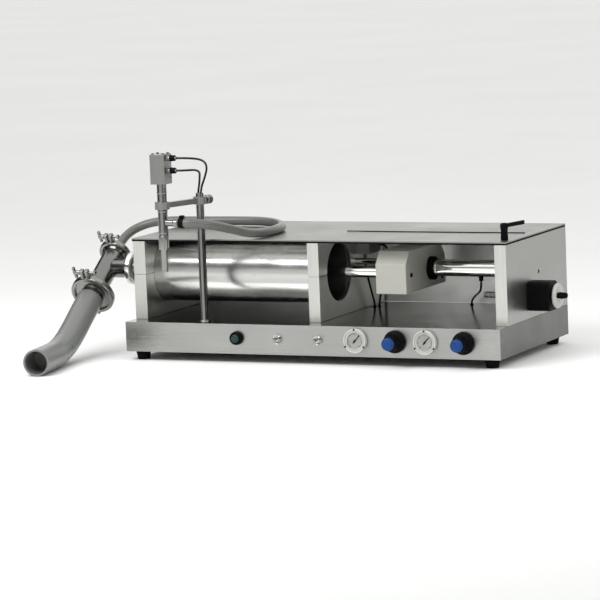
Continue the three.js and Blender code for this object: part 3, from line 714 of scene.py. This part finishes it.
def threaded(name, radius, start, end, pitch, depth, origin, material, sides):
    """A screw along X with a real helical thread. Millimetres."""
    bm = bmesh.new()
    steps = int((end - start) / pitch * 6)
    rings = []
    for i in range(steps + 1):
        x = start + (end - start) * i / steps
        fade = min(1.0, (x - start) / pitch, (end - x) / pitch)
        ring = []
        for k in range(sides):
            angle = 2 * math.pi * k / sides
            phase = ((x / pitch) - k / sides) % 1.0
            r = radius - depth * abs(2 * phase - 1) * fade - 0.6 * (1 - fade)
            ring.append(bm.verts.new(Vector(origin) + mm(x, r * math.cos(angle), r * math.sin(angle))))
        rings.append(ring)
    for low, high in zip(rings, rings[1:]):
        for k in range(sides):
            j = (k + 1) % sides
            bm.faces.new((low[k], low[j], high[j], high[k]))
    bm.faces.new(rings[0][::-1])
    bm.faces.new(rings[-1])
    return to_object(name, bm, material, 80)


def make_adjuster():
    screw = threaded("adjuster_thread", 6, 668, 822, 2.0, 0.7, ADJUSTER, "turned_steel", 40)
    place(screw, "adjuster", "turned_steel", "adjuster_screw")
    refine("stroke_stop_bracket", "stroke_stop", "turned_steel", "turned_steel", 0.8)
    refine("adjuster_housing", "frame", "black_plastic", "plastic_black", 1.4, 4)
    wheel = bmesh.new()
    profile = [(6.3, 806), (11, 806), (12, 812), (19, 811), (22, 809), (23.5, 812), (22, 816), (19, 818),
               (12, 817), (10, 821), (6.3, 821), (6.3, 806)]
    lathe_into(wheel, profile, "x", ADJUSTER, 96, 0.9)
    pin = at(0, 143.5, 111)
    lathe_into(wheel, [(0, 812), (2.2, 812), (2.2, 835), (0, 835)], "x", pin, 32, 0.2)
    place(to_object("handwheel_cast", wheel, "wheel_pale"), "adjuster", "handwheel_metal", "handwheel")
    grip = [(2.5, 818.4), (5.2, 819), (5.9, 822), (6, 826), (5.6, 831), (5, 835.3), (4, 837.5), (0, 838),
            (0, 835.3), (2.5, 835.3), (2.5, 818.4)]
    lathe("crank_grip_sleeve", grip, "x", pin, "rubber_black", "crank_grip", "black_plastic", "crank_grip",
          sides=48, soft=0.4)


# ---- front controls -----------------------------------------------------------------------
CONTROL_Z = 40.0
GAUGES = (475, 614)
REGULATORS = (554, 689)
TOGGLES = (317, 399)


def make_controls():
    button = [(0, -12.2), (4.8, -12.2), (6.5, -12.6), (8, -11), (8, 8), (0, 8)]
    lathe("button_cap", button, "y", at(233, 0, CONTROL_Z), "plastic_green", "push_button", "green_plastic",
          "push_button", sides=64, soft=0.8)
    collar = [(8.5, -0.3), (8.5, -8.2), (9.6, -9), (12.2, -8), (13, -0.3), (8.5, -0.3)]
    lathe("button_collar", collar, "y", at(233, 0, CONTROL_Z), "plastic_black", "frame", "black_plastic",
          sides=64, soft=0.4)
    for i, x in enumerate(TOGGLES, 1):
        tip = Matrix.Rotation(-0.16, 3, "X")
        lever = [(0, -20), (2.2, -19), (2.5, -16.5), (2.3, -13), (1.4, -2), (2.4, 0), (1.4, 2), (1.2, 8),
                 (0, 8)]
        lathe(f"toggle_bat_{i}", lever, "y", at(x, 0, CONTROL_Z), "tee_polish", f"toggle_{i}", "chrome_rod",
              f"toggle_lever_{i}", sides=40, soft=0.8, turn=tip)
        bush = [(3.7, 6), (3.7, -7), (4.7, -7), (4.7, 6), (3.7, 6)]
        bm = lathe_into(bmesh.new(), bush, "y", at(x, 0, CONTROL_Z), 48, 0.2)
        hexagon_into(bm, 16, -3.6, "y", at(x, -0.3, CONTROL_Z))
        place(to_object(f"toggle_bush_{i}", bm, "cylinder_polish"), "frame", "turned_steel")
    for i, x in enumerate(GAUGES, 1):
        make_gauge(i, x)
    for i, x in enumerate(REGULATORS, 1):
        centre = at(x, 0, CONTROL_Z)
        knob = [(0, -33), (12.5, -33), (13.5, -32), (14.2, -23), (15, -14), (16.5, -11), (20, -9), (21, -6),
                (21, -1.5), (19, -0.3), (10, -0.3), (10, 14), (0, 14)]
        lathe(f"regulator_body_{i}", knob, "y", centre, "plastic_black", f"regulator_{i}", "black_plastic",
              f"regulator_knob_{i}", sides=240, soft=0.6, flutes=20, depth=0.075, span=(-31.5, -12))
        cap = [(0, -42), (7, -41.9), (9.5, -41.4), (11.4, -39.4), (12, -33.3), (0, -33.3)]
        lathe(f"regulator_lid_{i}", cap, "y", centre, "plastic_blue", f"regulator_{i}", "blue_plastic",
              f"regulator_cap_{i}", soft=0.7)


def make_gauge(i, x):
    centre = at(x, 0, CONTROL_Z)
    body = [(0, -4.5), (19.5, -4.5), (19.5, -7.3), (21, -8.5), (22.5, -7.3), (22.5, -0.3), (20, -0.3),
            (20, 24), (6, 24), (6, 34), (0, 34)]
    lathe(f"gauge_bezel_{i}", body, "y", centre, "gauge_white", "frame", "gauge_white", f"gauge_case_{i}",
          sides=128, soft=0.5)
    lathe(f"gauge_dial_{i}", [(0, -4.9), (18.9, -4.9), (18.9, -4.5), (0, -4.5)], "y", centre, "dial_grey",
          "frame", "gauge_white", soft=0.1)
    marks = bmesh.new()
    first, sweep, steps = -225, 270, 30
    for k in range(steps + 1):
        angle = math.radians(first + sweep * k / steps)
        long = k % 5 == 0
        inner, outer, half = (11.8 if long else 13.0), 14.6, (0.4 if long else 0.18)
        turn = Matrix.Rotation(angle, 3, "Y")
        block_into(marks, centre + mm(inner, -5.08, -half), centre + mm(outer, -4.85, half), 0, turn,
                   centre)
    place(to_object(f"gauge_marks_{i}", marks, "mark_black"), "frame", "needle_black")
    rim = [(15.1, -4.4), (15.1, -6.0), (15.8, -6.5), (19.6, -6.3), (19.6, -4.4), (15.1, -4.4)]
    lathe(f"gauge_inner_rim_{i}", rim, "y", centre, "gauge_white", "frame", "gauge_white", soft=0.2)
    tabs = bmesh.new()
    for k in range(3):
        turn = Matrix.Rotation(math.radians(120 * k), 3, "Y")
        block_into(tabs, centre + mm(-1.7, -9.1, 19.7), centre + mm(1.7, -7.6, 22.9), 0.5, turn, centre)
    place(to_object(f"gauge_tabs_{i}", tabs, "plastic_black"), "frame", "gauge_white")
    refine(f"gauge_needle_{i}", f"needle_{i}", "needle_black", "mark_black", 0.12, 2)
    lathe(f"gauge_hub_{i}", [(0, -6.3), (1.6, -6.2), (2.1, -5.8), (2.1, -5.1), (0, -5.1)], "y", centre,
          "mark_black", f"needle_{i}", "needle_black", sides=32, soft=0.1)
    lathe(f"gauge_window_{i}", [(0, -7.4), (19.3, -7.1), (19.3, -6.6), (0, -6.9)], "y", centre,
          "gauge_glass", "frame", "gauge_white", soft=0.1)


# ---- valve and air fittings in the bay ----------------------------------------------------
def make_valve():
    refine("air_valve", "frame", "black_plastic", "valve_grey", 0.8)
    bm = bmesh.new()
    for y in (221, 261):
        screw_head(bm, at(400.6, y, 204), "z", 2.6, 1.4, 1.2)
    lathe_into(bm, [(0, 268), (5.5, 268), (5.5, 303), (0, 303)], "y", at(401, 0, 189), 48, 0.5)
    place(to_object("valve_screws", bm, "turned_steel"), "frame", "turned_steel")


def bay_tube(name, route):
    obj, rings, length = tube(name, route, 0.002, "air_tube", 0.001, 20)
    place(obj, "frame", "air_line_black")


def make_fittings():
    bm = bmesh.new()
    for x, y in ((398, 268), (404, 276), (576, 322)):
        lathe_into(bm, [(2.3, DECK), (3.6, DECK), (3.6, DECK + 1.6), (2.3, DECK + 1.6), (2.3, DECK)], "z",
                   at(x, y, 0), 40, 0.2)
    lathe_into(bm, [(2.3, -23), (4.2, -23), (4.2, -17), (5, -16), (5, -14.6), (2.3, -14.6), (2.3, -23)],
               "z", at(655, 178, 154), 40, 0.3)
    place(to_object("deck_fittings", bm, "plastic_black"), "frame", "black_plastic")
    bay_tube("bay_tube_1", [(401, 224, 166), (401, 224, 158), (401, 226, 148), (400.6, 231, 136),
                            (400, 238, 122), (399.2, 248, 106), (398.4, 258, 90), (398, 266, 76),
                            (398, 268, 68)])
    bay_tube("bay_tube_2", [(413.6, 260, 188), (417, 260, 188), (423.5, 260, 186.6), (429, 260.3, 183),
                            (432.4, 260.8, 177.5), (433.5, 261.5, 171), (432.5, 262.6, 160),
                            (428.5, 264.5, 144), (421.5, 267.5, 124), (413.5, 270.7, 104), (407, 274.5, 84),
                            (404, 276, 68)])
    bay_tube("bay_tube_3", [(655, 178, 132), (654.6, 178.6, 127), (652, 184, 119), (645, 198, 111),
                            (632, 222, 103), (615, 252, 95), (597, 284, 86), (583, 309, 77), (577, 320, 71),
                            (576, 322, 67)])


# ---- nozzle stand -------------------------------------------------------------------------
COLUMN_X, COLUMN_Y = 160.5, 15
NOZZLE_X, NOZZLE_Y = 130, -80
COLUMN = at(COLUMN_X, COLUMN_Y, 0)
NOZZLE = at(NOZZLE_X, NOZZLE_Y, 0)
REACH = Vector((NOZZLE_X - COLUMN_X, NOZZLE_Y - COLUMN_Y, 0))
STAND_TURN = Matrix.Rotation(math.atan2(REACH.y, REACH.x) + math.pi / 2, 3, "Z")


def make_stand():
    post = [(5, 66.3), (11, 66.3), (11, 70), (10.2, 71), (7.5, 71), (7.5, 310), (5, 310), (5, 66.3)]
    lathe("column_tube", post, "z", COLUMN, "pipe_polish", "frame", "cylinder_steel", "column", soft=0.4)
    refine("nozzle_arm", "arm", "turned_steel", "turned_steel", 0.7)
    thumb = [(0, 8.2), (2.5, 8.2), (2.5, 15), (6, 15.5), (8.5, 17), (8.5, 27), (7.5, 28.5), (3, 28.5),
             (2.6, 27.9), (0, 27.9)]
    lathe("thumb_screw_knurled", thumb, "y", COLUMN + mm(0, 0, 296), "turned_steel", "thumb_screw",
          "turned_steel", "arm_thumb_screw", sides=180, soft=0.3, flutes=36, depth=0.07, span=(17.5, 26.5),
          turn=STAND_TURN, smooth=50)


def make_nozzle():
    barb_z = 264
    bm = bmesh.new()
    tube_profile = [(4.5, 173), (5.5, 173), (6, 175), (6, 214), (9.6, 214), (9.6, 238.5), (9, 239), (9, 336),
                    (4.5, 336), (4.5, 173)]
    lathe_into(bm, tube_profile, "z", NOZZLE, 96, 0.4)
    hexagon_into(bm, 18.2, 22, "z", NOZZLE + mm(0, 0, 216), chamfer=1.2)
    for z in (244, 284, 318):
        lathe_into(bm, [(8.6, z), (9.4, z), (9.4, z + 3), (8.6, z + 3), (8.6, z)], "z", NOZZLE, 96, 0.3)
    barb = at(NOZZLE_X, NOZZLE_Y, barb_z)
    outlet = [(3.8, 7), (6.4, 7), (6.4, 22), (7.4, 24), (6.2, 30), (3.8, 30), (3.8, 7)]
    lathe_into(bm, outlet, "x", barb, 64, 0.3)
    place(to_object("nozzle_turned", bm, "pipe_polish"), "arm", "cylinder_steel", "nozzle_body")
    plunger = [(0, 174), (2.6, 177), (3, 181), (3, 354), (0, 354)]
    lathe("plunger_rod", plunger, "z", NOZZLE, "chrome", "plunger", "chrome_rod", "nozzle_plunger", sides=48)
    place(refined("nozzle_air_cylinder", "turned_steel", 1.2, 4), "arm", "turned_steel",
          "nozzle_air_cylinder")
    trim = bmesh.new()
    for x in (-10.5, 10.5):
        for y in (-10.5, 10.5):
            screw_head(trim, at(NOZZLE_X + x, NOZZLE_Y + y, 392), "z", 2.4, 1.8, 1.3)
    for z in (384, 361):
        lathe_into(trim, [(3.5, 20.6), (6, 20.6), (6, 23), (5.4, 26.5), (5.4, 30.5), (3.5, 30.5),
                          (3.5, 20.6)], "x", at(NOZZLE_X, NOZZLE_Y, z), 48, 0.3)
    place(to_object("nozzle_fittings", trim, "plastic_black"), "arm", "black_plastic")
    clip = [(8.6, 34), (10, 34), (10, 44), (8.6, 44), (8.6, 34)]
    bm = lathe_into(bmesh.new(), clip, "x", barb, 64, 0.3)
    block_into(bm, barb + mm(35, -4, 9), barb + mm(43, 4, 14), 0.6)
    lathe_into(bm, [(0, -7), (2, -7), (2, 7), (0, 7)], "y", barb + mm(39, 0, 11.5), 24, 0.3)
    place(to_object("nozzle_hose_clip", bm, "plastic_black"), "arm", "black_plastic")


# ---- tee with check valves ----------------------------------------------------------------
TEE = at(-104, 134, 151)
TILT = Matrix.Rotation(math.radians(34), 3, "X")


def in_tee(x, y, z):
    return TEE + TILT @ mm(x, y, z)


def sanitary_clamp(name, inner, outer, mid, half, node):
    """A hinged two-part clamp round the tee's run, with its bolt lugs on top."""
    bm = bmesh.new()
    shape = [(inner, mid - half), (outer - 1.5, mid - half), (outer, mid - half + 2), (outer, mid + half - 2),
             (outer - 1.5, mid + half), (inner, mid + half), (inner + 1, mid + 1), (inner + 1, mid - 1),
             (inner, mid - half)]
    lathe_into(bm, shape, "y", TEE, 96, 0.5, turn=TILT)
    for side in (-1, 1):
        x0, x1 = sorted((side * 1.5, side * 9))
        low, high = mm(x0, mid - half + 1, outer - 2), mm(x1, mid + half - 1, outer + 17)
        block_into(bm, TEE + low, TEE + high, 1.6, TILT, TEE)
    hinge = TEE + TILT @ Vector((0, 0, -(outer + 1) * MM))
    lathe_into(bm, [(0, mid - half), (2.6, mid - half), (2.6, mid + half), (0, mid + half)], "y", hinge, 32,
               0.3, turn=TILT)
    place(to_object(name, bm, "turned_steel"), "frame", "turned_steel", node)


def wing_bolt(name, mid, height, reach, body, node):
    """The clamp's bolt, with a hexagon head at one end and a wing nut at the other."""
    centre = in_tee(0, mid, height)
    bm = bmesh.new()
    lathe_into(bm, [(0, -reach), (2.3, -reach), (2.3, reach), (0, reach)], "x", centre, 32, 0.3, turn=TILT)
    hexagon_into(bm, 7.8, 4, "x", centre + TILT @ mm(reach - 4, 0, 0), turn=TILT, chamfer=0.4)
    nut = [(0, -reach), (3.2, -reach), (4.5, -reach + 2), (4.5, -9.6), (0, -9.6)]
    lathe_into(bm, nut, "x", centre, 48, 0.5, turn=TILT)
    for side in (-1, 1):
        ear = bmesh.new()
        outline = [(3, -3), (7, -2.6), (10, -3.2), (12.2, -2.6), (13, 0), (12.2, 2.6), (10, 3.2), (7, 2.6),
                   (3, 3)]
        low = [ear.verts.new((-reach + 1, y, side * z)) for z, y in outline]
        high = [ear.verts.new((-reach + 5, y, side * z)) for z, y in outline]
        ear.faces.new(low)
        ear.faces.new(high[::-1])
        for i in range(len(low)):
            j = (i + 1) % len(low)
            ear.faces.new((low[i], high[i], high[j], low[j]))
        bevel_edges(ear, 0.8 / MM, 3, 25)
        for v in ear.verts:
            v.co = centre + TILT @ (v.co * MM)
        merge(bm, ear)
    place(to_object(name, bm, "turned_steel"), body, "turned_steel", node)


def make_tee():
    inlet, outlet = 76.0, 42.0
    run = [(16, -inlet), (36, -inlet), (36, -inlet + 3), (24, -inlet + 8), (22.2, -inlet + 13),
           (21, -inlet + 22), (21, outlet - 8), (25, outlet - 3), (25, outlet), (16, outlet), (16, -inlet)]
    bm = lathe_into(bmesh.new(), run, "y", TEE, 96, 0.8, turn=TILT)
    end = -47.6 + 104
    branch = [(15, 18), (19, 18), (19, end - 6), (25, end - 3), (25, end), (15, end), (15, 18)]
    lathe_into(bm, branch, "x", TEE, 96, 0.6, turn=TILT)
    place(to_object("tee_polished", bm, "tee_polish"), "frame", "cylinder_steel", "tee_body")
    for name, y, node in (("inlet", -48, "inlet_check_ball"), ("outlet", 24, "outlet_check_ball")):
        profile = [(12 * math.sin(math.pi * i / 24), -12 * math.cos(math.pi * i / 24)) for i in range(25)]
        profile[0], profile[-1] = (0, -12), (0, 12)
        lathe(f"{name}_ball", profile, "y", in_tee(0, y, 0), "ptfe", f"{name}_check", "seal_plastic", node,
              sides=48, soft=0, turn=TILT)
    face = -inlet - 0.3
    tail = [(15, face - 14), (22, face - 14), (22.6, face - 9), (22, face - 8), (23, face - 4),
            (36, face - 3), (36, face), (15, face), (15, face - 14)]
    lathe("inlet_tail", tail, "y", TEE, "turned_steel", "frame", "turned_steel", "inlet_hose_tail", turn=TILT)
    sanitary_clamp("inlet_clamp_ring", 36.4, 43, face, 6.5, "inlet_clamp")
    wing_bolt("inlet_wing_nut", face, 54, 24, "inlet_bolt", "inlet_wing_bolt")
    end = outlet + 0.3
    barb = [(6, end), (25, end), (25, end + 3), (12, end + 6), (8, end + 9), (8, end + 12), (9, end + 14),
            (8, end + 20), (6, end + 20), (6, end)]
    lathe("outlet_tail", barb, "y", TEE, "turned_steel", "frame", "turned_steel", "outlet_barb", turn=TILT)
    sanitary_clamp("outlet_clamp_ring", 25.4, 31.5, end, 6, "outlet_clamp")
    wing_bolt("outlet_wing_nut", end, 42.5, 22, "outlet_bolt", "outlet_wing_bolt")
    port = [(25.4, -53), (30, -53), (31.5, -51), (31.5, -43.5), (30, -41.5), (25.4, -41.5), (26.4, -46.5),
            (26.4, -48), (25.4, -53)]
    lathe("port_clamp_ring", port, "x", BORE, "chrome", "frame", "turned_steel", "port_clamp", soft=0.5)


make_base()
make_plates()
make_lever()
make_cylinder()
make_drive()
make_adjuster()
make_controls()
make_valve()
make_fittings()
make_stand()
make_nozzle()
make_tee()


# ---- light and floor ----------------------------------------------------------------------
def softbox(name, place, target, size, watts):
    """A rectangular lamp at a place, turned to a target. The size is in metres."""
    data = bpy.data.lights.new(name, "AREA")
    data.shape = "RECTANGLE"
    data.size, data.size_y = size
    data.energy = watts
    light = linked(name, data)
    light.location = place
    light.rotation_euler = (Vector(target) - Vector(place)).to_track_quat("-Z", "Y").to_euler()


def make_light():
    """The world: bright behind, above and low in front, with a dim band above that in front.

    To either side, below the ceiling, it is dark for all but camera rays, which puts the dark streaks
    down the polished pipes."""
    scene = bpy.context.scene
    scene.world = bpy.data.worlds.new("studio")
    scene.world.use_nodes = True
    sky = Tree(scene.world.node_tree)
    warmth, all_round, dark = 0.985, (1.0, 1.0, 0.99), (0.045, 0.045, 0.05)
    levels = ((0.0, 1.0), (0.15, 0.9), (0.25, 0.16), (0.62, 0.22), (0.74, 1.5), (1.0, 1.3))
    facing = sky.split(sky.add("ShaderNodeTexCoord").outputs["Generated"])
    front = sky.ramp(facing["Z"], [(height, (level, level, level * warmth)) for height, level in levels])
    room = sky.mix(sky.range(facing["Y"], 0.0, 1.0, -0.15, 0.55), front, all_round)
    side = sky.range(sky.compute("ABSOLUTE", facing["X"]), 0.0, 1.0, 0.5, 0.68)
    low = sky.range(facing["Z"], 0.0, 1.0, 0.62, 0.48)
    camera_ray = sky.add("ShaderNodeLightPath").outputs["Is Camera Ray"]
    shaded = sky.compute("SUBTRACT", sky.compute("MULTIPLY", side, low), camera_ray, clamp=True)
    background = sky.tree.nodes["Background"]
    sky.put(sky.mix(shaded, room, dark), background.inputs["Color"])
    sky.put(1.0, background.inputs["Strength"])
    softbox("key", at(-300, -1300, 1500), at(300, 100, 120), size=(1.6, 0.9), watts=26)
    softbox("side", at(1900, -300, 900), at(500, 150, 120), size=(0.8, 0.9), watts=6)
    scene.view_settings.view_transform = "Standard"


def make_floor():
    n = Nodes("studio_floor")
    cloud = n.range(n.noise(1.3, 3.0), 0.0, 1.0)
    n.set(Base_Color=n.mix(cloud, (0.90, 0.905, 0.90), (0.93, 0.935, 0.93)), Roughness=0.75)
    mesh = bpy.data.meshes.new("floor")
    far = 60.0
    mesh.from_pydata([(-far, -far, 0), (far, -far, 0), (far, far, 0), (-far, far, 0)], [], [(0, 1, 2, 3)])
    mesh.materials.append(MATERIALS["studio_floor"])
    linked("floor", mesh)


make_light()
make_floor()
